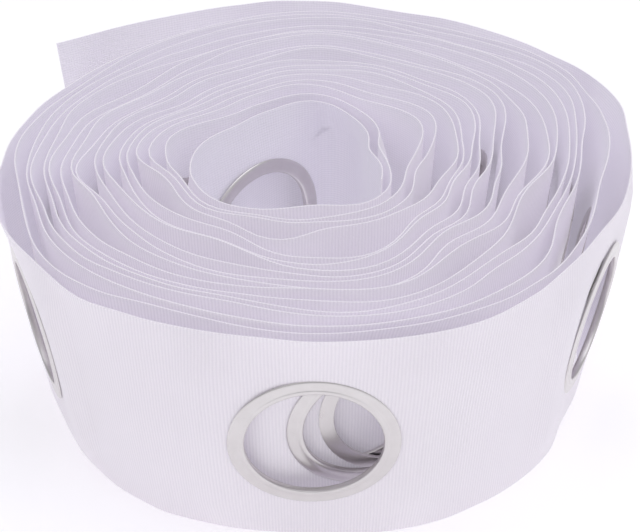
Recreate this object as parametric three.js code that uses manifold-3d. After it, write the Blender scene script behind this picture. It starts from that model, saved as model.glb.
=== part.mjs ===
import * as THREE from 'three';
import { mergeVertices } from 'three/addons/utils/BufferGeometryUtils.js';
import Module from 'manifold-3d';

// Roll of eyelet heading tape for curtains, standing on the edges of its turns.
// Millimetres, +Z up, the roll's axis along Z, azimuth 0 along +X and 270 at the front.

// Tape
const TAPE_WIDTH = 90;
const TAPE_THICK = 1.0;
// Share by which the plan of every turn is smaller at the floor than at the top edge
const FLARE = 0.11;

// Eyelet rings
const RING_OUTER_D = 56;
const RING_BORE_D = 45;
const COLLAR_THICK = 0.8;
const HOLE_D = 47.2;
const WASHER_THICK = 0.7;
const DOME_THICK = 1.4;
const LIP_THICK = 0.4;
const LIP_REACH = 1.1;
const SEAT_GAP = 0.3;
const RING_HEIGHT_SHARE = 0.49;
const RING_SEGMENTS = 28;
const HOLE_SEGMENTS = 36;
const SEAM_GAP = 0.3;

// Eyelet positions along the tape, measured from its free outer end
const FIRST_EYELET = 54.5;
const EYELET_SPACING = 127.85;
// Share of the tape's length taken up by waves between the turns, inward of the outer turn
const WAVE_SLACK = 0.062;

// Winding: azimuth of the inner end and the number of turns out to the free end
const INNER_END_AZIMUTH = 320.5;
const TURNS = 17.5;
const STEP_DEG = 1.5;
// The outer turn runs from here to the free end, smooth where the turns inside it are wavy
const OUTER_TURN_START = 16.4;
// The tape is held in strips of a few turns, each from its own start out to the next one's
const STRIPS = [
  { name: 'core_turn', start: 0 },
  { name: 'turns_1', start: 1 },
  { name: 'turns_2', start: 2.83 },
  { name: 'turns_3', start: 4.66 },
  { name: 'turns_4', start: 6.49 },
  { name: 'turns_5', start: 8.31 },
  { name: 'turns_6', start: 10.14 },
  { name: 'turns_7', start: 11.97 },
  { name: 'turns_8', start: 13.8 },
  { name: 'second_turn', start: 15.62 },
  { name: 'outer_turn_left', start: OUTER_TURN_START },
  { name: 'outer_turn_front', start: 16.766 },
  { name: 'outer_turn_right', start: 16.956 },
  { name: 'outer_turn_back', start: 17.146 },
  { name: 'outer_turn_tail', start: 17.333 },
];

// Radius of the open core and of the outline at the top edge, a spoke each 30 degrees from azimuth 0
const CORE_RADIUS = [20, 22.5, 27.5, 35, 31, 29.5, 36.5, 42.5, 40, 33.5, 36.5, 28.5];
const OUTLINE_RADIUS = [112.5, 115, 109, 110, 103.5, 104, 110.5, 112.5, 116.5, 112.5, 114, 110.3];

// The free end stands off the roll over its last part
const TAIL_START = 17.22;
const TAIL_LIFT = 23;
const TAIL_POWER = 1.6;

// Crescent gaps between the turns. after: whole turns inside the gap; azimuth: its middle;
// spread: half its width, degrees; open: how far it stands open, mm
const GAPS = [
  { after: 0, azimuth: 172, spread: 38, open: 12 },
  { after: 0, azimuth: 268, spread: 28, open: 7 },
  { after: 1, azimuth: 15, spread: 58, open: 13.5 },
  { after: 1, azimuth: 186, spread: 12, open: 4 },
  { after: 2, azimuth: 256, spread: 22, open: 8 },
  { after: 3, azimuth: 203, spread: 26, open: 8 },
  { after: 3, azimuth: 281, spread: 30, open: 15 },
  { after: 3, azimuth: 345, spread: 52, open: 8 },
  { after: 4, azimuth: 66, spread: 20, open: 4 },
  { after: 4, azimuth: 273, spread: 14, open: 4 },
  { after: 5, azimuth: 191, spread: 12, open: 4 },
  { after: 6, azimuth: 244, spread: 18, open: 7 },
  { after: 7, azimuth: 88, spread: 18, open: 8 },
  { after: 7, azimuth: 192, spread: 12, open: 4 },
  { after: 8, azimuth: 333, spread: 22, open: 7 },
  { after: 9, azimuth: 2, spread: 34, open: 8 },
  { after: 9, azimuth: 112, spread: 18, open: 4 },
  { after: 9, azimuth: 209, spread: 20, open: 7 },
  { after: 10, azimuth: 8, spread: 38, open: 4 },
  { after: 10, azimuth: 306, spread: 18, open: 7 },
  { after: 11, azimuth: 150, spread: 18, open: 5.5 },
  { after: 11, azimuth: 272, spread: 14, open: 4 },
  { after: 12, azimuth: 336, spread: 22, open: 7 },
  { after: 13, azimuth: 262, spread: 22, open: 4 },
  { after: 13, azimuth: 309, spread: 18, open: 7 },
  { after: 14, azimuth: 178, spread: 14, open: 4 },
  { after: 15, azimuth: 5, spread: 26, open: 4 },
  { after: 15, azimuth: 198, spread: 20, open: 5.5 },
  { after: 15, azimuth: 246, spread: 22, open: 5.5 },
  { after: 15, azimuth: 334, spread: 20, open: 5.5 },
  { after: 16, azimuth: 350, spread: 45, open: 9.5 },
];

// Settling: the edges run smoothly, and the middle band is flat where an eyelet is
const SMOOTH_PASSES = 32;
const SMOOTH_SHARE = 0.3;
const PITCH_PLAIN = 1.9;
const MOST_SLANT = 1.8;
const GIVE_SLOPE = 0.3;
const LOOK_STEPS = 36;
const FLAT_MARGIN = 3;
const FLAT_BLEND = 12;
const TIGHT_BLEND = 330;
const FLAT_COSINE = 0.66;
const WASHER_STANDS = 1.65;
const DOME_STANDS = 1.7;

const STEPS_PER_TURN = 360 / STEP_DEG;
// Scale of a turn's plan at a share of its height
const planScale = (share) => 1 - FLARE * (1 - share);
const rad = (degrees) => degrees * Math.PI / 180;
const azimuthAt = (turn) => INNER_END_AZIMUTH + 360 * turn;

// Value of a spoke table at an azimuth, smooth through the spokes
function spoke(table, azimuth) {
  const n = table.length;
  const place = ((azimuth / 360) * n % n + n) % n;
  const i = Math.floor(place);
  const u = place - i;
  const [a, b, c, d] = [-1, 0, 1, 2].map((k) => table[(i + k + n) % n]);
  const slope = 0.5 * (c - a);
  const nextSlope = 0.5 * (d - b);
  const u2 = u * u;
  const u3 = u2 * u;
  return b * (2 * u3 - 3 * u2 + 1) + c * (3 * u2 - 2 * u3)
    + slope * (u3 - 2 * u2 + u) + nextSlope * (u3 - u2);
}

// How much of a gap's opening is met at an azimuth
function gapShare(gap, azimuth) {
  const away = ((azimuth - gap.azimuth + 180) % 360 + 360) % 360 - 180;
  if (Math.abs(away) >= gap.spread) return 0;
  return Math.cos(0.5 * Math.PI * away / gap.spread) ** 2;
}

// Turn count at a gap's middle
function gapTurn(gap) {
  return gap.after + (((gap.azimuth - INNER_END_AZIMUTH) % 360 + 360) % 360) / 360;
}

// Radius of the path before it settles
function looseRadius(turn) {
  const azimuth = azimuthAt(turn);
  const core = spoke(CORE_RADIUS, azimuth);
  const outline = spoke(OUTLINE_RADIUS, azimuth);
  let all = 0;
  let inside = 0;
  for (const gap of GAPS) {
    const opened = gap.open * gapShare(gap, azimuth);
    all += opened;
    if (turn > gapTurn(gap) + 0.5) inside += opened;
  }
  const wound = core + (outline - core - all) * turn / (TURNS - 0.5) + inside;
  const tail = Math.max(0, (turn - TAIL_START) / (TURNS - TAIL_START));
  return wound + TAIL_LIFT * tail ** TAIL_POWER;
}

// Radii of the tape's edges at even azimuth steps, the turns never closer than the least pitch
function edgePath() {
  const count = Math.round(TURNS * STEPS_PER_TURN) + 1;
  const radius = [];
  for (let i = 0; i < count; i += 1) radius.push(looseRadius(i / STEPS_PER_TURN));
  for (let pass = 0; pass < SMOOTH_PASSES; pass += 1) {
    const before = radius.slice();
    for (let i = 1; i + 1 < count; i += 1) {
      radius[i] += SMOOTH_SHARE * (0.5 * (before[i - 1] + before[i + 1]) - before[i]);
    }
    for (let i = 0; i + STEPS_PER_TURN < count; i += 1) {
      const short = PITCH_PLAIN - (radius[i + STEPS_PER_TURN] - radius[i]);
      if (short > 0) {
        radius[i] -= 0.5 * short;
        radius[i + STEPS_PER_TURN] += 0.5 * short;
      }
    }
  }
  return radius;
}

// Radii of the tape's middle band: flat at each eyelet. In the outer half of the roll a turn gives way
// inward to the turn outside it, in the inner half it gives way outward to the turn inside it, and it
// gives way gradually on both sides of the place where it has to.
function bandPath(edge, eyelets) {
  const radius = edge.slice();
  const share = new Array(edge.length).fill(0);
  const endsAt = new Map();
  const count = edge.length;
  const half = Math.round(0.5 * TURNS * STEPS_PER_TURN);
  for (const eyelet of eyelets) {
    fitFlat(edge, eyelet);
    for (let i = eyelet.first; i <= eyelet.last; i += 1) {
      share[i] = flatWeight(eyelet, i);
      radius[i] += share[i] * (flatRadius(eyelet, i) - radius[i]);
    }
    if (eyelet.step > half) endsAt.set(eyelet.last, eyelet);
  }
  // How much wider the turns stand along a spoke than square to the path, at a settled step
  const slant = (i) => {
    const [before, after] = [Math.max(0, i - 1), Math.min(count - 1, i + 1)];
    const slope = (radius[after] - radius[before]) / (rad(STEP_DEG) * (after - before) * radius[i]);
    return Math.min(MOST_SLANT, Math.hypot(1, slope));
  };
  // How far step i and the step one turn outside it are closer than they may be
  const over = (i, settled) => {
    const j = i + STEPS_PER_TURN;
    if (i < 0 || j >= count) return 0;
    const stand = PITCH_PLAIN + WASHER_STANDS * share[i] + DOME_STANDS * share[j];
    return radius[i] + stand * slant(settled) - radius[j];
  };
  const easing = (i) => GIVE_SLOPE * rad(STEP_DEG) * radius[i];
  let given = 0;
  for (let i = count - 1 - STEPS_PER_TURN; i >= half; i -= 1) {
    const eyelet = endsAt.get(i);
    if (eyelet) {
      let shift = 0;
      for (let k = eyelet.first; k <= eyelet.last; k += 1) {
        if (share[k] > 0.5) shift = Math.max(shift, over(k, k + STEPS_PER_TURN));
      }
      eyelet.distance -= shift;
      for (let k = eyelet.first; k <= eyelet.last; k += 1) {
        radius[k] = edge[k] + share[k] * (flatRadius(eyelet, k) - edge[k]);
      }
    }
    let eased = given - easing(i);
    for (let d = 1; d <= LOOK_STEPS; d += 1) {
      eased = Math.max(eased, over(i - d, i - d + STEPS_PER_TURN) - d * easing(i));
    }
    const need = share[i] < 1 ? over(i, i + STEPS_PER_TURN) : 0;
    given = Math.max(0, need, eased * (1 - share[i]));
    radius[i] -= given;
  }
  given = 0;
  for (let i = 0; i + STEPS_PER_TURN < count; i += 1) {
    let eased = given - easing(i);
    for (let d = 1; d <= LOOK_STEPS; d += 1) eased = Math.max(eased, over(i + d, i + d) - d * easing(i));
    const j = i + STEPS_PER_TURN;
    given = i < half ? Math.max(0, over(i, i), eased * (1 - share[j])) : 0;
    radius[j] += given;
  }
  return { band: radius, share };
}

// Plan point of a path at a step, whole or not
function planPoint(radius, i) {
  const angle = rad(azimuthAt(i / STEPS_PER_TURN));
  const whole = Math.min(radius.length - 2, Math.floor(i));
  const r = radius[whole] + (i - whole) * (radius[whole + 1] - radius[whole]);
  return [r * Math.cos(angle), r * Math.sin(angle)];
}

// Length from each step to the free end along the eyelets' height, the slack of the waves added if asked
function lengthToEnd(radius, withSlack) {
  const length = new Array(radius.length).fill(0);
  const scale = planScale(RING_HEIGHT_SHARE);
  for (let i = radius.length - 2; i >= 0; i -= 1) {
    const a = planPoint(radius, i);
    const b = planPoint(radius, i + 1);
    const slack = withSlack && i < OUTER_TURN_START * STEPS_PER_TURN ? 1 + WAVE_SLACK : 1;
    length[i] = length[i + 1] + slack * scale * Math.hypot(b[0] - a[0], b[1] - a[1]);
  }
  return length;
}

// Eyelets along the path, each with the steps that its flat and the blends beside it take
function placeEyelets(radius) {
  const tape = lengthToEnd(radius, true);
  const length = lengthToEnd(radius, false);
  const eyelets = [];
  for (let place = FIRST_EYELET; place + 0.5 * HOLE_D < tape[0]; place += EYELET_SPACING) {
    let middle = 0;
    while (tape[middle + 1] >= place) middle += 1;
    const part = (tape[middle] - place) / (tape[middle] - tape[middle + 1]);
    const at = length[middle] + part * (length[middle + 1] - length[middle]);
    const blend = FLAT_BLEND + TIGHT_BLEND / radius[middle];
    const reach = 0.5 * RING_OUTER_D + FLAT_MARGIN + blend;
    let first = middle;
    let last = middle;
    while (first > 0 && length[first - 1] <= at + reach) first -= 1;
    while (last + 1 < length.length && length[last + 1] >= at - reach) last += 1;
    eyelets.push({ first, last, step: middle + part, at, length, blend });
  }
  return eyelets;
}

// 1 on an eyelet's flat, down to 0 at the end of the blend beside it
function flatWeight(eyelet, i) {
  const away = Math.abs(eyelet.length[i] - eyelet.at) - 0.5 * RING_OUTER_D - FLAT_MARGIN;
  const u = Math.min(1, Math.max(0, away / eyelet.blend));
  return 1 - u * u * (3 - 2 * u);
}

// Straight line in plan through the steps on an eyelet's flat
function fitFlat(radius, eyelet) {
  const points = [];
  for (let i = eyelet.first; i <= eyelet.last; i += 1) {
    if (flatWeight(eyelet, i) === 1) points.push(planPoint(radius, i));
  }
  const mean = [0, 1].map((k) => points.reduce((sum, point) => sum + point[k], 0) / points.length);
  let [xx, xy, yy] = [0, 0, 0];
  for (const [x, y] of points) {
    xx += (x - mean[0]) ** 2;
    xy += (x - mean[0]) * (y - mean[1]);
    yy += (y - mean[1]) ** 2;
  }
  const angle = 0.5 * Math.atan2(2 * xy, xx - yy) + Math.PI / 2;
  const outward = mean[0] * Math.cos(angle) + mean[1] * Math.sin(angle) < 0 ? -1 : 1;
  eyelet.normal = [outward * Math.cos(angle), outward * Math.sin(angle)];
  eyelet.distance = eyelet.normal[0] * mean[0] + eyelet.normal[1] * mean[1];
}

// Radius at which a step's azimuth meets an eyelet's line, or past the flat an arc that goes on from it
function flatRadius(eyelet, i) {
  const angle = rad(azimuthAt(i / STEPS_PER_TURN));
  const facing = eyelet.normal[0] * Math.cos(angle) + eyelet.normal[1] * Math.sin(angle);
  return eyelet.distance / Math.max(FLAT_COSINE, facing);
}

// Mesh stations along the tape: the most steps and the most bend between two. Rows up its height, all
// four only where the middle band leaves the edges' path
const STATION_STEPS = 6;
const STATION_BEND_DEG = 9;
const ROWS = [0, 0.165, 0.815, 1];

// Plan point and outward plan normal of the tape at a step, on one of its rows
function tapePoint(paths, i, row) {
  const last = paths.edge.length - 1;
  const path = row === 0 || row === 1 ? paths.edge : paths.band;
  const near = Math.max(0, Math.min(last, i));
  const before = planPoint(path, Math.max(0, near - 1));
  const after = planPoint(path, Math.min(last, near + 1));
  const length = Math.hypot(after[0] - before[0], after[1] - before[1]);
  const normal = [(after[1] - before[1]) / length, -(after[0] - before[0]) / length];
  const scale = planScale(row);
  const [x, y] = planPoint(path, near);
  const height = Math.sqrt(TAPE_WIDTH ** 2 - (FLARE * paths.edge[Math.floor(near)]) ** 2);
  return { x: x * scale, y: y * scale, z: row * height, normal };
}

// Heading of the tape's edges and of its band at a step
function headings(paths, i) {
  return [ROWS[0], ROWS[1]].map((row) => {
    const [nx, ny] = tapePoint(paths, i, row).normal;
    return Math.atan2(ny, nx);
  });
}

// Steps at which the sweep gets a station: every few steps, wherever the edges or the band have turned
// enough, and at both ends of each flat and each blend
function stations(paths, from, to) {
  const steps = [from];
  let since = headings(paths, from);
  for (let i = Math.ceil(from); i <= to; i += 1) {
    const now = headings(paths, i);
    const turned = Math.max(...now.map((angle, k) => (
      Math.abs(((angle - since[k] + 3 * Math.PI) % (2 * Math.PI)) - Math.PI))));
    const [before, here, after] = [i - 1, i, i + 1].map((k) => paths.share[k]);
    const corner = (here === 1 && (before < 1 || after < 1)) || (here === 0 && (before > 0 || after > 0));
    const run = i - steps[steps.length - 1];
    const due = run >= STATION_STEPS || turned > rad(STATION_BEND_DEG) || corner;
    if (run > 0 && (due || i === to)) {
      steps.push(i);
      since = now;
    }
  }
  return steps;
}

// The tape between two steps as one closed sweep of its section
function tapeGeometry(paths, from, to) {
  const positions = [];
  const index = [];
  const sections = stations(paths, from, to).map((i) => {
    const whole = Math.floor(i);
    const plain = Math.abs(paths.band[whole] - paths.edge[whole]) < 0.02;
    const rows = plain ? [ROWS[0], ROWS[3]] : ROWS;
    const sides = [0.5, -0.5].map((side) => rows.map((row) => {
      const { x, y, z, normal } = tapePoint(paths, i, row);
      const away = side * TAPE_THICK;
      positions.push(x + away * normal[0], y + away * normal[1], z);
      return { row, vertex: positions.length / 3 - 1 };
    }));
    return { outer: sides[0], inner: sides[1] };
  });
  const top = (side) => side[side.length - 1].vertex;
  const quad = (a, b, c, d) => index.push(a, b, c, a, c, d);
  for (let k = 0; k + 1 < sections.length; k += 1) {
    const [here, next] = [sections[k], sections[k + 1]];
    zip(index, here.outer, next.outer, false);
    zip(index, here.inner, next.inner, true);
    quad(here.outer[0].vertex, here.inner[0].vertex, next.inner[0].vertex, next.outer[0].vertex);
    quad(top(here.outer), top(next.outer), top(next.inner), top(here.inner));
  }
  zip(index, sections[0].inner, sections[0].outer, false);
  const end = sections[sections.length - 1];
  zip(index, end.inner, end.outer, true);
  const geometry = new THREE.BufferGeometry();
  geometry.setAttribute('position', new THREE.Float32BufferAttribute(positions, 3));
  geometry.setIndex(index);
  return geometry;
}

// Triangles between two columns of vertices that rise from row 0 to row 1
function zip(index, left, right, flipped) {
  let [a, b] = [0, 0];
  while (a + 1 < left.length || b + 1 < right.length) {
    const nextLeft = a + 1 < left.length ? left[a + 1].row : Infinity;
    const nextRight = b + 1 < right.length ? right[b + 1].row : Infinity;
    const corner = [left[a].vertex, right[b].vertex];
    if (nextRight <= nextLeft) {
      b += 1;
      corner.push(right[b].vertex);
    } else {
      a += 1;
      corner.push(left[a].vertex);
    }
    if (flipped) corner.reverse();
    index.push(...corner);
  }
}

// Frame of an eyelet: X along the tape, Y out of the roll, origin on the tape's middle surface
function eyeletFrame(paths, eyelet) {
  const angle = rad(azimuthAt(eyelet.step / STEPS_PER_TURN));
  const [nx, ny] = eyelet.normal;
  const radius = flatRadius(eyelet, eyelet.step);
  const scale = planScale(RING_HEIGHT_SHARE);
  const edge = paths.edge[Math.round(eyelet.step)];
  const height = Math.sqrt(TAPE_WIDTH ** 2 - (FLARE * edge) ** 2);
  const lean = FLARE * eyelet.distance;
  const along = new THREE.Vector3(-ny, nx, 0);
  const out = new THREE.Vector3(nx * height, ny * height, -lean).normalize();
  const down = new THREE.Vector3().crossVectors(along, out);
  const frame = new THREE.Matrix4().makeBasis(along, out, down);
  frame.setPosition(radius * Math.cos(angle) * scale, radius * Math.sin(angle) * scale,
    RING_HEIGHT_SHARE * height);
  return frame;
}

const wasm = await Module();
wasm.setup();

function toManifold(geometry) {
  const bare = geometry.clone();
  bare.deleteAttribute('normal');
  bare.deleteAttribute('uv');
  const merged = mergeVertices(bare, 1e-4);
  return new wasm.Manifold(new wasm.Mesh({
    numProp: 3,
    vertProperties: Float32Array.from(merged.attributes.position.array),
    triVerts: Uint32Array.from(merged.index.array),
  }));
}

function fromManifold(solid) {
  const mesh = solid.getMesh();
  const geometry = new THREE.BufferGeometry();
  geometry.setAttribute('position', new THREE.Float32BufferAttribute(mesh.vertProperties, 3));
  geometry.setIndex(Array.from(mesh.triVerts));
  return geometry;
}

// The tape with a round hole for each eyelet on it
function holedTape(paths, from, to, eyelets) {
  let solid = toManifold(tapeGeometry(paths, from, to));
  for (const eyelet of eyelets) {
    const cutter = new THREE.CylinderGeometry(0.5 * HOLE_D, 0.5 * HOLE_D, 2.6 * TAPE_THICK, HOLE_SEGMENTS);
    cutter.applyMatrix4(eyeletFrame(paths, eyelet));
    solid = solid.subtract(toManifold(cutter));
  }
  return fromManifold(solid);
}

function ringGeometry(profile) {
  const points = profile.map(([r, y]) => new THREE.Vector2(r, y));
  points.push(points[0].clone());
  return new THREE.LatheGeometry(points, RING_SEGMENTS);
}

// Domed half on the inner side: its collar passes through the tape and is rolled over the washer
function domeProfile() {
  const bore = 0.5 * RING_BORE_D;
  const rim = 0.5 * RING_OUTER_D;
  const seat = 0.5 * TAPE_THICK + SEAT_GAP;
  const lip = seat + WASHER_THICK + SEAT_GAP;
  return [
    [bore, -seat - 0.7 * DOME_THICK],
    [bore + 1.6, -seat - DOME_THICK],
    [rim - 1.6, -seat - DOME_THICK],
    [rim, -seat],
    [bore + COLLAR_THICK, -seat],
    [bore + COLLAR_THICK, lip],
    [bore + COLLAR_THICK + LIP_REACH, lip],
    [bore + COLLAR_THICK + LIP_REACH - 0.3, lip + LIP_THICK],
    [bore, lip + LIP_THICK],
  ];
}

// Flat washer on the outer side
function washerProfile() {
  const bore = 0.5 * HOLE_D;
  const rim = 0.5 * RING_OUTER_D;
  const seat = 0.5 * TAPE_THICK + SEAT_GAP;
  return [
    [bore, seat],
    [rim, seat],
    [rim - 0.2, seat + WASHER_THICK],
    [bore, seat + WASHER_THICK],
  ];
}

const edge = edgePath();
const allEyelets = placeEyelets(edge);
// Eyelets that show: those of the outer turn, the one behind the front one, and the one in the core
const OUTER_EYELETS = 5;
const SECOND_TURN_EYELET = 8;
const shownEyelets = [...allEyelets.slice(0, OUTER_EYELETS), allEyelets[SECOND_TURN_EYELET],
  allEyelets[allEyelets.length - 1]];
const paths = { edge, ...bandPath(edge, shownEyelets) };

const tapeMaterial = new THREE.MeshStandardMaterial({ color: 0xe4e0e8, roughness: 0.9, metalness: 0 });
const ringMaterial = new THREE.MeshStandardMaterial({ color: 0xc9c6c4, roughness: 0.35, metalness: 1 });

const group = new THREE.Group();

function addMesh(name, geometry, material) {
  geometry.computeVertexNormals();
  const mesh = new THREE.Mesh(geometry, material);
  mesh.name = name;
  group.add(mesh);
}

STRIPS.forEach(({ name, start }, k) => {
  const first = Math.round(start * STEPS_PER_TURN);
  const last = k + 1 < STRIPS.length ? Math.round(STRIPS[k + 1].start * STEPS_PER_TURN) : edge.length - 1;
  const stepLength = planScale(0) * Math.hypot(...planPoint(edge, first)) * rad(STEP_DEG);
  const from = k > 0 ? first + SEAM_GAP / stepLength : first;
  const held = shownEyelets.filter(({ step }) => step > first && step < last);
  addMesh(name, holedTape(paths, from, last, held), tapeMaterial);
});
const RING_NAMES = ['tail', 'back', 'right', 'front', 'left', 'second', 'core'];
shownEyelets.forEach((eyelet, k) => {
  const frame = eyeletFrame(paths, eyelet);
  addMesh(`ring_dome_${RING_NAMES[k]}`, ringGeometry(domeProfile()).applyMatrix4(frame), ringMaterial);
  addMesh(`ring_washer_${RING_NAMES[k]}`, ringGeometry(washerProfile()).applyMatrix4(frame), ringMaterial);
});

// The origin is under the middle of the whole part
const bounds = new THREE.Box3().setFromObject(group);
const middle = bounds.getCenter(new THREE.Vector3());
for (const mesh of group.children) mesh.geometry.translate(-middle.x, -middle.y, -bounds.min.z);

export default group;
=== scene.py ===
# Looks for a roll of curtain heading tape: the ribbed tape, its pressed eyelets, floor, light and camera.
# The winding repeats the solids' own path, in millimetres along the roll's axis, and becomes metres
# when a mesh is made.
import math
import random

import bpy
import numpy as np
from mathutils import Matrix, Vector


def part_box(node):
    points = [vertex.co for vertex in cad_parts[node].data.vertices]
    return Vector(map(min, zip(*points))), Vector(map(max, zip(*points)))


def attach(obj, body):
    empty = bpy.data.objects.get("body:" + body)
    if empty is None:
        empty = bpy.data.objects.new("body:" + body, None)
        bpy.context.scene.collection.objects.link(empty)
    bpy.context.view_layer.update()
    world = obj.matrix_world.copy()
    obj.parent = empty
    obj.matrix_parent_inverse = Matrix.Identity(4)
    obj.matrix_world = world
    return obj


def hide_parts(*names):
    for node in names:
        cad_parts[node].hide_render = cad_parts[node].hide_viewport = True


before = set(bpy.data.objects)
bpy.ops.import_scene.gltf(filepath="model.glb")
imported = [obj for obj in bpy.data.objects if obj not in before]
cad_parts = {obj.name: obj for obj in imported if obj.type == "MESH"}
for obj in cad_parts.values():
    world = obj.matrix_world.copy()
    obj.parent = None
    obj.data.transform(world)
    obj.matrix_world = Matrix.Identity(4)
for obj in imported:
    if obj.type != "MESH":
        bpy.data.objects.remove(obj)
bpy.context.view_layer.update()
MM = 0.001

# Tape and its flare: the share by which a turn's plan is smaller at the floor than at the top edge
TAPE_WIDTH = 90.0
TAPE_THICK = 0.44
SOLID_THICK = 1.0
FLARE = 0.11

# Eyelets
RING_OUTER_D = 56.0
HOLE_D = 47.2
RING_HEIGHT_SHARE = 0.49
FIRST_EYELET = 54.5
EYELET_SPACING = 127.85
WAVE_SLACK = 0.062
FABRIC_HOLE_R = 23.45

# Winding
INNER_END_AZIMUTH = 320.5
TURNS = 17.5
STEP_DEG = 1.5
OUTER_TURN_START = 16.4
STEPS_PER_TURN = round(360 / STEP_DEG)
CORE_RADIUS = [20, 22.5, 27.5, 35, 31, 29.5, 36.5, 42.5, 40, 33.5, 36.5, 28.5]
OUTLINE_RADIUS = [112.5, 115, 109, 110, 103.5, 104, 110.5, 112.5, 116.5, 112.5, 114, 110.3]
TAIL_START = 17.22
TAIL_LIFT = 23.0
TAIL_POWER = 1.6

# Crescent gaps: whole turns inside, azimuth of the middle, half width in degrees, opening in mm
GAP_COLUMNS = ("after", "azimuth", "spread", "open")
GAPS = [dict(zip(GAP_COLUMNS, row)) for row in (
    (0, 172, 38, 12), (0, 268, 28, 7), (1, 15, 58, 13.5), (1, 186, 12, 4), (2, 256, 22, 8),
    (3, 203, 26, 8), (3, 281, 30, 15), (3, 345, 52, 8), (4, 66, 20, 4), (4, 273, 14, 4),
    (5, 191, 12, 4), (6, 244, 18, 7), (7, 88, 18, 8), (7, 192, 12, 4), (8, 333, 22, 7),
    (9, 2, 34, 8), (9, 112, 18, 4), (9, 209, 20, 7), (10, 8, 38, 4), (10, 306, 18, 7),
    (11, 150, 18, 5.5), (11, 272, 14, 4), (12, 336, 22, 7), (13, 262, 22, 4), (13, 309, 18, 7),
    (14, 178, 14, 4), (15, 5, 26, 4), (15, 198, 20, 5.5), (15, 246, 22, 5.5), (15, 334, 20, 5.5),
    (16, 350, 45, 9.5),
)]

# Settling
SMOOTH_PASSES = 32
SMOOTH_SHARE = 0.3
PITCH_PLAIN = 1.9
MOST_SLANT = 1.8
GIVE_SLOPE = 0.3
LOOK_STEPS = 36
FLAT_MARGIN = 3.0
FLAT_BLEND = 12.0
TIGHT_BLEND = 330.0
FLAT_COSINE = 0.66
WASHER_STANDS = 1.65
DOME_STANDS = 1.7
BAND_LOW, BAND_HIGH = 0.165, 0.815


def plan_scale(share):
    return 1 - FLARE * (1 - share)


def spoke(table, azimuth):
    """Value of a spoke table at an azimuth, smooth through the spokes."""
    n = len(table)
    place = (azimuth / 360 * n) % n
    i = int(math.floor(place))
    u = place - i
    a, b, c, d = (table[(i + k) % n] for k in (-1, 0, 1, 2))
    slope, next_slope = 0.5 * (c - a), 0.5 * (d - b)
    return (b * (2 * u ** 3 - 3 * u ** 2 + 1) + c * (3 * u ** 2 - 2 * u ** 3)
            + slope * (u ** 3 - 2 * u ** 2 + u) + next_slope * (u ** 3 - u ** 2))


def gap_share(gap, azimuth):
    away = (azimuth - gap["azimuth"] + 180) % 360 - 180
    if abs(away) >= gap["spread"]:
        return 0.0
    return math.cos(0.5 * math.pi * away / gap["spread"]) ** 2


def gap_turn(gap):
    return gap["after"] + ((gap["azimuth"] - INNER_END_AZIMUTH) % 360) / 360


def loose_radius(turn):
    """Radius of the path before it settles."""
    azimuth = INNER_END_AZIMUTH + 360 * turn
    core = spoke(CORE_RADIUS, azimuth)
    outline = spoke(OUTLINE_RADIUS, azimuth)
    total = inside = 0.0
    for gap in GAPS:
        opened = gap["open"] * gap_share(gap, azimuth)
        total += opened
        if turn > gap_turn(gap) + 0.5:
            inside += opened
    wound = core + (outline - core - total) * turn / (TURNS - 0.5) + inside
    tail = max(0.0, (turn - TAIL_START) / (TURNS - TAIL_START))
    return wound + TAIL_LIFT * tail ** TAIL_POWER


def edge_path():
    """Radii of the tape's edges at even azimuth steps, the turns never closer than the least pitch."""
    count = round(TURNS * STEPS_PER_TURN) + 1
    radius = np.array([loose_radius(i / STEPS_PER_TURN) for i in range(count)])
    for _ in range(SMOOTH_PASSES):
        before = radius.copy()
        radius[1:-1] += SMOOTH_SHARE * (0.5 * (before[:-2] + before[2:]) - before[1:-1])
        for start in range(0, count - STEPS_PER_TURN, STEPS_PER_TURN):
            stop = min(start + STEPS_PER_TURN, count - STEPS_PER_TURN)
            here, outside = slice(start, stop), slice(start + STEPS_PER_TURN, stop + STEPS_PER_TURN)
            short = np.maximum(0, PITCH_PLAIN - (radius[outside] - radius[here]))
            radius[here] -= 0.5 * short
            radius[outside] += 0.5 * short
    return radius


def step_angle(steps):
    return np.radians(INNER_END_AZIMUTH + STEP_DEG * np.asarray(steps, float))


def plan_points(radius, steps):
    """Plan points of a path at steps, whole or not."""
    r = np.interp(steps, np.arange(len(radius)), radius)
    angle = step_angle(steps)
    return np.stack([r * np.cos(angle), r * np.sin(angle)], axis=-1)


def length_to_end(radius, with_slack):
    """Length from each step to the free end along the eyelets' height."""
    points = plan_points(radius, np.arange(len(radius)))
    pieces = plan_scale(RING_HEIGHT_SHARE) * np.linalg.norm(np.diff(points, axis=0), axis=1)
    if with_slack:
        pieces[: round(OUTER_TURN_START * STEPS_PER_TURN)] *= 1 + WAVE_SLACK
    return np.append(np.cumsum(pieces[::-1])[::-1], 0.0)


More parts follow.
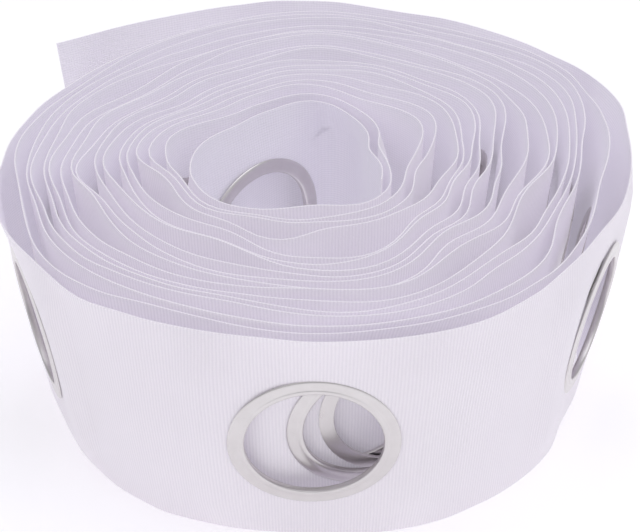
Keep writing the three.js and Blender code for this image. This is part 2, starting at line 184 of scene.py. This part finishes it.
class Eyelet:
    """One eyelet: its fractional step, its length from the free end, and the steps of its flat."""

    def __init__(self, step, at, length, radius):
        blend = FLAT_BLEND + TIGHT_BLEND / radius[int(step)]
        reach = 0.5 * RING_OUTER_D + FLAT_MARGIN + blend
        near = np.nonzero(np.abs(length - at) <= reach)[0]
        self.step, self.at, self.steps = step, at, near
        away = np.abs(length[near] - at) - 0.5 * RING_OUTER_D - FLAT_MARGIN
        u = np.clip(away / blend, 0, 1)
        self.weight = 1 - u * u * (3 - 2 * u)

    def fit_flat(self, radius):
        points = plan_points(radius, self.steps[self.weight == 1])
        mean = points.mean(axis=0)
        x, y = (points - mean).T
        angle = 0.5 * math.atan2(2 * (x * y).sum(), (x * x).sum() - (y * y).sum()) + math.pi / 2
        normal = np.array([math.cos(angle), math.sin(angle)])
        self.normal = -normal if mean @ normal < 0 else normal
        self.distance = float(self.normal @ mean)

    def flat_radius(self, steps):
        angle = step_angle(steps)
        facing = self.normal[0] * np.cos(angle) + self.normal[1] * np.sin(angle)
        return self.distance / np.maximum(FLAT_COSINE, facing)


def place_eyelets(radius):
    tape, length = length_to_end(radius, True), length_to_end(radius, False)
    steps = np.arange(len(radius), dtype=float)
    found, place = [], FIRST_EYELET
    while place + 0.5 * HOLE_D < tape[0]:
        step = float(np.interp(place, tape[::-1], steps[::-1]))
        found.append(Eyelet(step, float(np.interp(step, steps, length)), length, radius))
        place += EYELET_SPACING
    return found


def band_path(edge, eyelets):
    """Radii of the tape's middle band: flat at each shown eyelet, the turns beside it giving way
    gradually, inward in the outer half of the roll and outward in the inner half."""
    count, half = len(edge), round(0.5 * TURNS * STEPS_PER_TURN)
    flat_share = np.zeros(count)
    laid = edge.copy()
    ends_at = {}
    for eyelet in eyelets:
        eyelet.fit_flat(edge)
        k = eyelet.steps
        flat_share[k] = eyelet.weight
        laid[k] += flat_share[k] * (eyelet.flat_radius(k) - laid[k])
        if eyelet.step > half:
            ends_at[int(k[-1])] = eyelet
    radius, share = laid.tolist(), flat_share.tolist()
    step_rad = math.radians(STEP_DEG)

    def slant(i):
        before, after = max(0, i - 1), min(count - 1, i + 1)
        slope = (radius[after] - radius[before]) / (step_rad * (after - before) * radius[i])
        return min(MOST_SLANT, math.hypot(1, slope))

    def over(i, settled):
        j = i + STEPS_PER_TURN
        if i < 0 or j >= count:
            return 0.0
        stand = PITCH_PLAIN + WASHER_STANDS * share[i] + DOME_STANDS * share[j]
        return radius[i] + stand * slant(settled) - radius[j]

    given = 0.0
    for i in range(count - 1 - STEPS_PER_TURN, half - 1, -1):
        eyelet = ends_at.get(i)
        if eyelet:
            k = eyelet.steps
            flat = [int(j) for j in k if share[j] > 0.5]
            eyelet.distance -= max([0.0] + [over(j, j + STEPS_PER_TURN) for j in flat])
            moved = edge[k] + flat_share[k] * (eyelet.flat_radius(k) - edge[k])
            radius[k[0]:k[-1] + 1] = moved.tolist()
        ease = GIVE_SLOPE * step_rad * radius[i]
        eased = max([given - ease] + [over(i - d, i - d + STEPS_PER_TURN) - d * ease
                                      for d in range(1, LOOK_STEPS + 1)])
        need = over(i, i + STEPS_PER_TURN) if share[i] < 1 else 0.0
        given = max(0.0, need, eased * (1 - share[i]))
        radius[i] -= given
    given = 0.0
    for i in range(half):
        j = i + STEPS_PER_TURN
        ease = GIVE_SLOPE * step_rad * radius[i]
        eased = max([given - ease] + [over(i + d, i + d) - d * ease for d in range(1, LOOK_STEPS + 1)])
        given = max(0.0, over(i, i), eased * (1 - share[j]))
        radius[j] += given
    return np.array(radius), flat_share


EDGE = edge_path()
STEPS = np.arange(len(EDGE))
EYELETS = place_eyelets(EDGE)
RING_NAMES = {0: "tail", 1: "back", 2: "right", 3: "front", 4: "left", 8: "second", len(EYELETS) - 1: "core"}
SHOWN = {k: EYELETS[k] for k in RING_NAMES}
BAND, SHARE = band_path(EDGE, list(SHOWN.values()))
FROM_END = length_to_end(EDGE, False)
TAPE_LENGTH = float(FROM_END[0])
# The cloth behind the core's eyelet is plain, so the innermost turns lie with less slack and these
# eyelets stand further out along the tape, in mm
SLACK_LEFT_OUT = {62: 7.4, 61: 14.9, 60: 12.0, 59: 8.0, 58: 4.0}
for number, shift in SLACK_LEFT_OUT.items():
    EYELETS[number].at -= shift
# Length from the inner end at every step
ALONG = TAPE_LENGTH - FROM_END

# Small waves of the free edges, only as large as the room beside a turn allows
WAVE_LENGTHS = (190.0, 84.0, 31.0)
WAVE_PARTS = (0.62, 0.3, 0.08)
WAVE_OF_ROOM = 0.46
WAVE_PUSH = 2.0
WAVE_MOST = 2.6
WAVE_LEAST = 0.12
WAVE_SHIFT = 1.5
WAVE_SHIFT_LENGTHS = 4.3
WAVE_SHIFT_PHASE = 6
WAVE_SMOOTH_STEPS = 8
# Share of the height, up or down from the middle, and the power with which an edge's wave grows
WAVE_HALF = 0.5
WAVE_POWER = 1.6
EDGE_PITCH_LEAST = 0.7


def edge_wave(seed):
    """Radial waves of one edge at every step."""
    rng = random.Random(seed)
    raw = sum(part * np.sin(2 * math.pi * ALONG / long + rng.uniform(0, 2 * math.pi)
                            + WAVE_SHIFT * np.sin(2 * math.pi * ALONG / (WAVE_SHIFT_LENGTHS * long)
                                                  + rng.uniform(0, WAVE_SHIFT_PHASE)))
              for long, part in zip(WAVE_LENGTHS, WAVE_PARTS))
    raw = np.tanh(WAVE_PUSH * raw)
    outward = np.full(len(EDGE), WAVE_MOST / WAVE_OF_ROOM)
    outward[:-STEPS_PER_TURN] = EDGE[STEPS_PER_TURN:] - EDGE[:-STEPS_PER_TURN] - EDGE_PITCH_LEAST
    inward = np.full(len(EDGE), WAVE_MOST / WAVE_OF_ROOM)
    inward[STEPS_PER_TURN:] = outward[:-STEPS_PER_TURN]
    room = np.clip(WAVE_OF_ROOM * np.minimum(outward, inward), WAVE_LEAST, WAVE_MOST)
    window = 2 * WAVE_SMOOTH_STEPS + 1
    padded = np.pad(room, WAVE_SMOOTH_STEPS, mode="edge")
    smooth = np.convolve(padded, np.ones(window) / window, mode="valid")
    return raw * np.minimum(room, smooth)


TOP_WAVE_SEED, LOW_WAVE_SEED, LIFT_SEED = 7, 11, 5
TOP_WAVE, LOW_WAVE = edge_wave(TOP_WAVE_SEED), edge_wave(LOW_WAVE_SEED)

# The inner turns stand a little higher or lower than their neighbours
LIFT_MOST = 2.2
LIFT_LENGTHS = (310.0, 127.0)
LIFT_PARTS = (0.6, 0.4)
LIFT_FADE_STEPS = 60


def turn_lifts(seed):
    """Height of every step above the floor, none at the outer turn, the core or a shown eyelet."""
    rng = random.Random(seed)
    raw = sum(part * np.sin(2 * math.pi * ALONG / long + rng.uniform(0, 2 * math.pi))
              for long, part in zip(LIFT_LENGTHS, LIFT_PARTS))
    free = np.ones(len(EDGE))
    free[round(OUTER_TURN_START * STEPS_PER_TURN):] = 0
    free[:STEPS_PER_TURN] = 0
    free[SHARE > 0] = 0
    kernel = np.ones(LIFT_FADE_STEPS) / LIFT_FADE_STEPS
    padded = np.pad(free, LIFT_FADE_STEPS, mode="edge")
    near = np.convolve(padded, kernel, mode="same")[LIFT_FADE_STEPS:-LIFT_FADE_STEPS]
    return LIFT_MOST * (0.5 + 0.5 * raw) * np.clip(2 * near - 1, 0, 1)


LIFT = turn_lifts(LIFT_SEED)


def plan_at(steps, share):
    """Plan points of the tape's middle surface at steps and height shares."""
    steps = np.clip(steps, 0, len(EDGE) - 1)
    edge, band = np.interp(steps, STEPS, EDGE), np.interp(steps, STEPS, BAND)
    ramp = np.clip(np.minimum(share / BAND_LOW, (1 - share) / (1 - BAND_HIGH)), 0, 1)
    radius = edge + ramp * (band - edge)
    above = np.clip((share - WAVE_HALF) / WAVE_HALF, 0, 1) ** WAVE_POWER
    below = np.clip((WAVE_HALF - share) / WAVE_HALF, 0, 1) ** WAVE_POWER
    radius = radius + np.interp(steps, STEPS, TOP_WAVE) * above
    radius = radius + np.interp(steps, STEPS, LOW_WAVE) * below
    angle = step_angle(steps)
    scale = plan_scale(share)
    return np.stack([radius * scale * np.cos(angle), radius * scale * np.sin(angle)], axis=-1)


def surface(steps, share, away):
    """Points at a distance outward of the tape's middle surface, mm, in the roll's own frame."""
    steps, share = np.broadcast_arrays(np.asarray(steps, float), np.asarray(share, float))
    plan = plan_at(steps, share)
    run = plan_at(steps + 0.5, share) - plan_at(steps - 0.5, share)
    run /= np.linalg.norm(run, axis=-1, keepdims=True)
    edge = np.interp(steps, STEPS, EDGE)
    height = np.sqrt(TAPE_WIDTH ** 2 - (FLARE * edge) ** 2)
    return np.stack([plan[..., 0] + away * run[..., 1], plan[..., 1] - away * run[..., 0],
                     share * height + np.interp(steps, STEPS, LIFT)], axis=-1)


def steps_at(along):
    return np.interp(along, ALONG, STEPS)


# Lengths of tape in the solids, from the core out
TAPE_NODES = (["core_turn"] + [f"turns_{k}" for k in range(1, 9)] + ["second_turn"]
              + [f"outer_turn_{side}" for side in ("left", "front", "right", "back", "tail")])


# The roll's axis lies off the middle of the part's box by this much
def roll_axis():
    steps = np.arange(len(EDGE))
    rows = np.array([0.0, BAND_LOW, BAND_HIGH, 1.0])
    sides = [surface(steps[:, None], rows[None, :], away)[..., :2]
             for away in (-SOLID_THICK / 2, SOLID_THICK / 2)]
    own = np.concatenate([side.reshape(-1, 2) for side in sides])
    boxes = [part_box(node) for node in TAPE_NODES]
    low = np.min([low[:2] for low, _ in boxes], axis=0)
    high = np.max([high[:2] for _, high in boxes], axis=0)
    middle = (low + high) / 2 / MM
    return middle - (own.min(axis=0) + own.max(axis=0)) / 2


AXIS = np.append(roll_axis(), 0.0)


def to_part(points):
    """Millimetres in the roll's frame to metres in the part's frame."""
    return (np.asarray(points, float) + AXIS) * MM


# Colours are sRGB hex
def linear(code, alpha=1.0):
    parts = [int(code[i:i + 2], 16) / 255 for i in (1, 3, 5)]
    return tuple(p / 12.92 if p <= 0.04045 else ((p + 0.055) / 1.055) ** 2.4 for p in parts) + (alpha,)


class Nodes:
    """Small helper for one node material."""

    def __init__(self, name):
        self.material = bpy.data.materials.new(name)
        self.material.use_nodes = True
        self.tree = self.material.node_tree
        self.shader = self.tree.nodes["Principled BSDF"]

    def add(self, kind, links=None, **settings):
        node = self.tree.nodes.new(kind)
        for key, value in settings.items():
            if hasattr(node, key) and key not in node.inputs:
                setattr(node, key, value)
            else:
                node.inputs[key].default_value = value
        for socket, source in (links or {}).items():
            self.tree.links.new(source, node.inputs[socket])
        return node

    def math(self, operation, a, b=0.0):
        node = self.tree.nodes.new("ShaderNodeMath")
        node.operation = operation
        for socket, value in zip(node.inputs, (a, b)):
            if isinstance(value, (int, float)):
                socket.default_value = value
            else:
                self.tree.links.new(value, socket)
        return node.outputs[0]

    def mix(self, factor, a, b):
        node = self.tree.nodes.new("ShaderNodeMix")
        node.data_type = "RGBA"
        for socket, value in ((node.inputs[0], factor), (node.inputs[6], a), (node.inputs[7], b)):
            if isinstance(value, (int, float, tuple)):
                socket.default_value = value
            else:
                self.tree.links.new(value, socket)
        return node.outputs[2]

    def link(self, source, socket):
        self.tree.links.new(source, self.shader.inputs[socket])


# Stiff heading tape: bonded polyester with ribs across its width on the outer face and rows of
# weft along it on the inner face. The map's units are metres along and across the tape.
RIB_PITCH = 1.1
THREAD_PITCH = 0.62
INNER_ROW_PITCH = 0.95
# Painted glow: the cloth gives off a faint light of its own, standing in for the light that passes through
# the thin white cloth and fills the gaps between the turns
PAINTED_GLOW_COLOUR = "#e6e5f0"
PAINTED_GLOW_STRENGTH = 0.165
# Sizes of the cloth's unevenness, per metre, and the share of each in the relief and in the colour, whose
# darker valleys are painted shade
SWAY_SCALE, SWAY_RADIANS = 55.0, 3.0
FUZZ_SCALE, FUZZ_SHARE = 1500.0, 0.5
TONE_SCALE, TONE_SHARE = 28.0, 0.3
RELIEF_SHARE = 0.75
CLOTH_BUMP, CLOTH_BUMP_MM = 0.55, 0.12


def wave_of(nodes, coordinate, pitch_mm, shift=None):
    """0 to 1 along a coordinate in metres."""
    turns = nodes.math("MULTIPLY", coordinate, 2 * math.pi / (pitch_mm * MM))
    if shift is not None:
        turns = nodes.math("ADD", turns, shift)
    return nodes.math("ADD", nodes.math("MULTIPLY", nodes.math("SINE", turns), 0.5), 0.5)


def tape_material(name, crest, valley, ribs, rows, row_pitch):
    nodes = Nodes(name)
    uv = nodes.add("ShaderNodeUVMap", uv_map="tape_metres")
    parts = nodes.add("ShaderNodeSeparateXYZ", {"Vector": uv.outputs[0]})
    along, across = parts.outputs[0], parts.outputs[1]
    drift = nodes.add("ShaderNodeTexNoise", {"Vector": uv.outputs[0]}, Scale=SWAY_SCALE, Detail=2.0)
    sway = nodes.math("MULTIPLY", drift.outputs[0], SWAY_RADIANS)
    rib = wave_of(nodes, along, RIB_PITCH, sway)
    row = wave_of(nodes, across, row_pitch, sway)
    fuzz = nodes.add("ShaderNodeTexNoise", {"Vector": uv.outputs[0]}, Scale=FUZZ_SCALE, Detail=3.0,
                     Roughness=0.7)
    tone = nodes.add("ShaderNodeTexNoise", {"Vector": uv.outputs[0]}, Scale=TONE_SCALE, Detail=3.0)
    # Painted shade: the colour is darker where the relief is low, in the valleys of the ribs and rows; the
    # fuzz and the tone noise are the cloth's own uneven tone
    relief = nodes.math("ADD", nodes.math("MULTIPLY", rib, ribs), nodes.math("MULTIPLY", row, rows))
    relief = nodes.math("ADD", relief, nodes.math("MULTIPLY", fuzz.outputs[0], FUZZ_SHARE))
    shade = nodes.math("ADD", nodes.math("MULTIPLY", relief, RELIEF_SHARE),
                       nodes.math("MULTIPLY", tone.outputs[0], TONE_SHARE))
    colour = nodes.mix(shade, linear(valley), linear(crest))
    nodes.link(colour, "Base Color")
    bump = nodes.add("ShaderNodeBump", {"Height": relief}, Strength=CLOTH_BUMP, Distance=CLOTH_BUMP_MM * MM)
    nodes.link(bump.outputs[0], "Normal")
    shader = nodes.shader.inputs
    shader["Roughness"].default_value = 0.82
    # Painted glow: the tape itself emits light, in place of light passing through the cloth
    shader["Emission Color"].default_value = linear(PAINTED_GLOW_COLOUR)
    shader["Emission Strength"].default_value = PAINTED_GLOW_STRENGTH
    shader["Sheen Weight"].default_value = 0.12
    shader["Sheen Roughness"].default_value = 0.5
    shader["Specular IOR Level"].default_value = 0.3
    shader["Subsurface Weight"].default_value = 0.35
    shader["Subsurface Radius"].default_value = (1.0, 0.95, 1.05)
    shader["Subsurface Scale"].default_value = 1.6 * MM
    return nodes.material


TAPE_OUTER = tape_material("ribbed_polyester_outer_face", "#efe9ee", "#dad3da", 0.6, 0.12, THREAD_PITCH)
TAPE_INNER = tape_material("bonded_polyester_inner_face", "#eeeaf1", "#d8d3de", 0.2, 0.42, INNER_ROW_PITCH)


# Pressed steel, nickel plated and satin finished: faint grain and a little cloudiness
CLOUD_SCALE, GRAIN_SCALE = 160.0, 2600.0
NICKEL_ROUGH, NICKEL_ROUGH_SPREAD = 0.24, 0.14
NICKEL_BUMP, NICKEL_BUMP_MM = 0.12, 0.02


def ring_material():
    nodes = Nodes("satin_nickel_plate")
    place = nodes.add("ShaderNodeTexCoord")
    spot = {"Vector": place.outputs["Object"]}
    cloud = nodes.add("ShaderNodeTexNoise", spot, Scale=CLOUD_SCALE, Detail=4.0)
    grain = nodes.add("ShaderNodeTexNoise", spot, Scale=GRAIN_SCALE, Detail=2.0)
    colour = nodes.mix(cloud.outputs[0], linear("#d2cecd"), linear("#e2dfde"))
    nodes.link(colour, "Base Color")
    rough = nodes.math("ADD", nodes.math("MULTIPLY", cloud.outputs[0], NICKEL_ROUGH_SPREAD), NICKEL_ROUGH)
    nodes.link(rough, "Roughness")
    bump = nodes.add("ShaderNodeBump", {"Height": grain.outputs[0]}, Strength=NICKEL_BUMP,
                     Distance=NICKEL_BUMP_MM * MM)
    nodes.link(bump.outputs[0], "Normal")
    nodes.shader.inputs["Metallic"].default_value = 1.0
    return nodes.material


NICKEL = ring_material()


def make_piece(name, points, faces, materials, face_materials=None, sharp_deg=None):
    """A mesh piece in the part's frame that rides on the body."""
    mesh = bpy.data.meshes.new(name)
    mesh.from_pydata([tuple(p) for p in points], [], faces)
    for material in materials:
        mesh.materials.append(material)
    if face_materials is not None:
        mesh.polygons.foreach_set("material_index", np.asarray(face_materials, np.int32))
    mesh.polygons.foreach_set("use_smooth", [True] * len(mesh.polygons))
    if sharp_deg is not None:
        mesh.set_sharp_from_angle(angle=math.radians(sharp_deg))
    mesh.validate()
    mesh.update()
    piece = bpy.data.objects.new(name, mesh)
    bpy.context.scene.collection.objects.link(piece)
    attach(piece, "root")
    return piece


# Grid of the tape: columns along it, rows up it. Round each eyelet a window of the grid gives way to
# a patch that runs from the window's sides to the round hole.
COLUMN_MM = 4.4
COLUMN_OF_RADIUS = 0.085
WINDOW_HALF = 31.0
WINDOW_COLUMNS = 20
WINDOW_ROWS = 12
LOW_ROWS_MM = (0.0, 3.0, 7.6)
HIGH_ROWS_MM = (79.8, 85.6, 90.0)
PATCH_LAYERS = (0.12, 0.4, 0.7)
TAPE_SHARP_DEG = 50
RING_SHARP_DEG = 42
RING_MIDDLE_MM = RING_HEIGHT_SHARE * TAPE_WIDTH


def window_middle(eyelet):
    return TAPE_LENGTH - eyelet.at


def grid_columns():
    """Column places along the tape, and for each window its first column."""
    places, windows, start = [0.0], {}, 0.0
    for k in range(len(EYELETS) - 1, -1, -1):
        middle = window_middle(EYELETS[k])
        places += fill(start, middle - WINDOW_HALF)
        windows[k] = len(places) - 1
        step = 2 * WINDOW_HALF / WINDOW_COLUMNS
        places += [middle - WINDOW_HALF + step * (c + 1) for c in range(WINDOW_COLUMNS)]
        start = middle + WINDOW_HALF
    places += fill(start, TAPE_LENGTH)
    return np.array(places), windows


def fill(start, stop):
    """Even places after start, up to and with stop."""
    radius = float(np.interp(steps_at(0.5 * (start + stop)), STEPS, EDGE))
    count = max(1, math.ceil((stop - start) / min(COLUMN_MM, COLUMN_OF_RADIUS * radius)))
    return [start + (stop - start) * (c + 1) / count for c in range(count)]


def circle_steps(k, angles, radius):
    """Steps and height shares of a circle round an eyelet, on the tape."""
    eyelet = EYELETS[k]
    share = RING_HEIGHT_SHARE + radius * np.sin(angles) / TAPE_WIDTH
    if k in SHOWN:
        tangent = np.array([-eyelet.normal[1], eyelet.normal[0]])
        reach = plan_points(BAND, eyelet.steps) @ tangent
        low = high = int(np.argmin(np.abs(eyelet.steps - eyelet.step)))
        while low > 0 and reach[low - 1] < reach[low]:
            low -= 1
        while high < len(reach) - 1 and reach[high + 1] > reach[high]:
            high += 1
        steps, reach = eyelet.steps[low:high + 1], reach[low:high + 1]
        middle = float(np.interp(eyelet.step, steps, reach))
        want = (middle * plan_scale(RING_HEIGHT_SHARE) + radius * np.cos(angles)) / plan_scale(share)
        return np.interp(want, reach, steps), share
    shrink = plan_scale(RING_HEIGHT_SHARE) / plan_scale(share)
    return steps_at(window_middle(eyelet) + radius * np.cos(angles) * shrink), share


def tape_grid():
    """Steps and shares of every vertex of one side, its faces, and the loops round its holes."""
    columns, windows = grid_columns()
    window_low = RING_MIDDLE_MM - WINDOW_HALF
    rows = (list(LOW_ROWS_MM)
            + [window_low + 2 * WINDOW_HALF * r / WINDOW_ROWS for r in range(WINDOW_ROWS + 1)]
            + list(HIGH_ROWS_MM))
    shares = np.array(rows) / TAPE_WIDTH
    first_row = len(LOW_ROWS_MM)
    column_steps = steps_at(columns)
    steps, share, ids = [], [], -np.ones((len(columns), len(rows)), int)
    inside = np.zeros((len(columns), len(rows)), bool)
    for c in windows.values():
        inside[c + 1:c + WINDOW_COLUMNS, first_row + 1:first_row + WINDOW_ROWS] = True
    blocked = np.zeros((len(columns) - 1, len(rows) - 1), bool)
    for c in windows.values():
        blocked[c:c + WINDOW_COLUMNS, first_row:first_row + WINDOW_ROWS] = True
    for c in range(len(columns)):
        for r in range(len(rows)):
            if not inside[c, r]:
                ids[c, r] = len(steps)
                steps.append(column_steps[c])
                share.append(shares[r])
    faces = [(ids[c, r], ids[c + 1, r], ids[c + 1, r + 1], ids[c, r + 1])
             for c in range(len(columns) - 1) for r in range(len(rows) - 1) if not blocked[c, r]]
    holes = []
    for k, c in windows.items():
        low, high, right = first_row, first_row + WINDOW_ROWS, c + WINDOW_COLUMNS
        rim = ([ids[x, low] for x in range(c, right)] + [ids[right, r] for r in range(low, high)]
               + [ids[x, high] for x in range(right, c, -1)] + [ids[c, r] for r in range(high, low, -1)])
        rim_steps, rim_share = np.array([steps[v] for v in rim]), np.array([share[v] for v in rim])
        away = np.interp(rim_steps, STEPS, ALONG) - window_middle(EYELETS[k])
        angles = np.arctan2(rim_share * TAPE_WIDTH - RING_MIDDLE_MM, away)
        hole_steps, hole_share = circle_steps(k, angles, FABRIC_HOLE_R)
        before = rim
        for part in (*PATCH_LAYERS[::-1], 0.0):
            layer = list(range(len(steps), len(steps) + len(rim)))
            steps += list(hole_steps + part * (rim_steps - hole_steps))
            share += list(hole_share + part * (rim_share - hole_share))
            for a in range(len(rim)):
                b = (a + 1) % len(rim)
                faces.append((before[a], before[b], layer[b], layer[a]))
            before = layer
        holes.append(before)
    border = [[int(v) for v in ids[:, 0]], [int(v) for v in ids[-1, :]],
              [int(v) for v in ids[::-1, -1]], [int(v) for v in ids[0, ::-1]]]
    return np.array(steps), np.array(share), faces, holes, [v for side in border for v in side[:-1]]


def build_tape():
    steps, share, faces, holes, border = tape_grid()
    count = len(steps)
    outer = surface(steps, share, TAPE_THICK / 2)
    inner = surface(steps, share, -TAPE_THICK / 2)
    made = [tuple(int(v) for v in face) for face in faces]
    every = made + [tuple(v + count for v in reversed(face)) for face in made]
    kinds = [0] * len(made) + [1] * len(made)
    for a, b in zip(border, border[1:] + border[:1]):
        every.append((b, a, a + count, b + count))
        kinds.append(0)
    for hole in holes:
        for a, b in zip(hole, hole[1:] + hole[:1]):
            every.append((a, b, b + count, a + count))
            kinds.append(0)
    piece = make_piece("heading_tape", to_part(np.concatenate([outer, inner])), every,
                       [TAPE_OUTER, TAPE_INNER], kinds, TAPE_SHARP_DEG)
    layer = piece.data.uv_layers.new(name="tape_metres")
    corner = np.zeros(len(piece.data.loops), np.int32)
    piece.data.loops.foreach_get("vertex_index", corner)
    flat = np.stack([np.interp(steps, STEPS, ALONG), share * TAPE_WIDTH], axis=1) * MM
    flat = np.concatenate([flat, flat])[corner]
    layer.data.foreach_set("uv", flat.astype(np.float32).ravel())
    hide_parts(*TAPE_NODES)
    return piece


# Half sections of a pressed eyelet, radius and height outward of the tape's middle, mm. The shown
# eyelets have the full section, the ones between the turns a plainer one.
FULL_SECTION = [
    (22.5, -0.6), (22.5, 0.7), (22.56, 1.02), (22.72, 1.22), (23.0, 1.31), (23.6, 1.3), (24.1, 1.22),
    (24.3, 1.1), (24.4, 1.03), (25.6, 1.07), (26.8, 1.02), (27.5, 0.9), (27.88, 0.7), (28.0, 0.5),
    (27.9, 0.36), (27.6, 0.31), (25.5, 0.31), (23.4, 0.31), (23.4, -0.31), (25.5, -0.31), (27.7, -0.31),
    (27.95, -0.4), (28.0, -0.58), (27.8, -0.9), (27.2, -1.3), (26.2, -1.58), (25.1, -1.66), (24.0, -1.56),
    (23.1, -1.28), (22.65, -0.95),
]
PLAIN_SECTION = [
    (22.6, -0.5), (22.6, 0.5), (22.8, 0.72), (27.4, 0.72), (27.9, 0.52), (27.9, 0.3), (23.4, 0.3),
    (23.4, -0.3), (27.9, -0.3), (27.9, -0.5), (27.2, -0.76), (23.2, -0.76),
]
SHOWN_SEGMENTS = 112
HIDDEN_SEGMENTS = 48


def ring_faces(section_count, segments, offset=0):
    faces = []
    for a in range(segments):
        b = (a + 1) % segments
        for p in range(section_count):
            q = (p + 1) % section_count
            faces.append(tuple(offset + v for v in (a * section_count + p, b * section_count + p,
                                                    b * section_count + q, a * section_count + q)))
    return faces


def eyelet_frame(eyelet):
    """Origin, direction along the tape, outward and up the tape, in the roll's frame."""
    nx, ny = eyelet.normal
    radius = float(eyelet.flat_radius(eyelet.step))
    angle = float(step_angle(eyelet.step))
    edge = float(EDGE[round(eyelet.step)])
    height = math.sqrt(TAPE_WIDTH ** 2 - (FLARE * edge) ** 2)
    scale = plan_scale(RING_HEIGHT_SHARE)
    origin = Vector((radius * math.cos(angle) * scale, radius * math.sin(angle) * scale,
                     RING_HEIGHT_SHARE * height))
    along = Vector((-ny, nx, 0))
    out = Vector((nx * height, ny * height, -FLARE * eyelet.distance)).normalized()
    return origin, along, out, out.cross(along) * -1


def build_shown_ring(k, name):
    origin, along, out, up = eyelet_frame(EYELETS[k])
    points = []
    for a in range(SHOWN_SEGMENTS):
        angle = 2 * math.pi * a / SHOWN_SEGMENTS
        radial = along * math.cos(angle) + up * math.sin(angle)
        points += [origin + radial * r + out * h for r, h in FULL_SECTION]
    faces = ring_faces(len(FULL_SECTION), SHOWN_SEGMENTS)
    piece = make_piece(f"eyelet_{name}", to_part(points), faces, [NICKEL], None, RING_SHARP_DEG)
    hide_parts(f"ring_dome_{name}", f"ring_washer_{name}")
    return piece


def build_hidden_rings():
    points, faces = [], []
    angles = 2 * math.pi * np.arange(HIDDEN_SEGMENTS) / HIDDEN_SEGMENTS
    for k in range(len(EYELETS)):
        if k in SHOWN:
            continue
        rings = []
        for r, h in PLAIN_SECTION:
            steps, share = circle_steps(k, angles, r)
            rings.append(surface(steps, share, h))
        faces += ring_faces(len(PLAIN_SECTION), HIDDEN_SEGMENTS, len(points))
        points += list(np.stack(rings, axis=1).reshape(-1, 3))
    return make_piece("eyelets_between_turns", to_part(points), faces, [NICKEL], None, RING_SHARP_DEG)


tape = build_tape()
rings = [build_shown_ring(k, name) for k, name in RING_NAMES.items()] + [build_hidden_rings()]


# Plain pale floor that carries on past the picture, lit from below like a light table
FLOOR_GLOW = 0.29
FLOOR_HALF = 3.0
FLOOR_DROP = 0.0002


def build_floor():
    half = FLOOR_HALF
    mesh = bpy.data.meshes.new("studio_floor")
    corners = [(-half, -half, 0), (half, -half, 0), (half, half, 0), (-half, half, 0)]
    mesh.from_pydata(corners, [], [tuple(range(len(corners)))])
    nodes = Nodes("studio_floor_paper")
    nodes.shader.inputs["Base Color"].default_value = linear("#fbfafb")
    nodes.shader.inputs["Roughness"].default_value = 0.9
    nodes.shader.inputs["Emission Color"].default_value = linear("#fdfcff")
    nodes.shader.inputs["Emission Strength"].default_value = FLOOR_GLOW
    mesh.materials.append(nodes.material)
    floor = bpy.data.objects.new("studio_floor", mesh)
    bpy.context.scene.collection.objects.link(floor)
    floor.location.z = -FLOOR_DROP


build_floor()


def area_light(name, place, target, size, power, code):
    light = bpy.data.lights.new(name, "AREA")
    light.shape = "RECTANGLE"
    light.size, light.size_y = size
    light.energy = power
    light.color = linear(code)[:3]
    lamp = bpy.data.objects.new(name, light)
    lamp.location = place
    lamp.rotation_euler = (Vector(target) - Vector(place)).to_track_quat("-Z", "Y").to_euler()
    bpy.context.scene.collection.objects.link(lamp)


ROLL_MIDDLE = (0.0, 0.0, 0.05)
area_light("softbox_above", (0.1, 0.1, 1.15), ROLL_MIDDLE, (1.3, 1.1), 5.2, "#f8f9ff")
area_light("softbox_front_left", (-0.5, -0.95, 0.95), ROLL_MIDDLE, (1.1, 0.9), 0.7, "#fffafa")
area_light("softbox_front_right", (0.7, -0.8, 0.9), ROLL_MIDDLE, (1.0, 0.9), 0.5, "#fffafa")

world = bpy.data.worlds.new("studio_air")
world.use_nodes = True
world.node_tree.nodes["Background"].inputs["Color"].default_value = linear("#f6f6fb")
world.node_tree.nodes["Background"].inputs["Strength"].default_value = 0.52
bpy.context.scene.world = world
bpy.context.scene.view_settings.view_transform = "Standard"

# Camera: where the picture was taken from, in the roll's frame
CAMERA_EYE_MM = (2.5, -604.1, 449.4)
CAMERA_PITCH_DEG = 34.08
CAMERA_FOCAL_PX = 2000.7
PICTURE_WIDTH_PX = 640
SENSOR_MM = 36.0

camera_data = bpy.data.cameras.new("camera")
camera_data.sensor_width = SENSOR_MM
camera_data.lens = CAMERA_FOCAL_PX / PICTURE_WIDTH_PX * SENSOR_MM
camera_data.clip_start = 0.05
camera = bpy.data.objects.new("camera", camera_data)
camera.location = Vector(to_part(CAMERA_EYE_MM))
camera.rotation_euler = (math.radians(90 - CAMERA_PITCH_DEG), 0, 0)
bpy.context.scene.collection.objects.link(camera)
bpy.context.scene.camera = camera
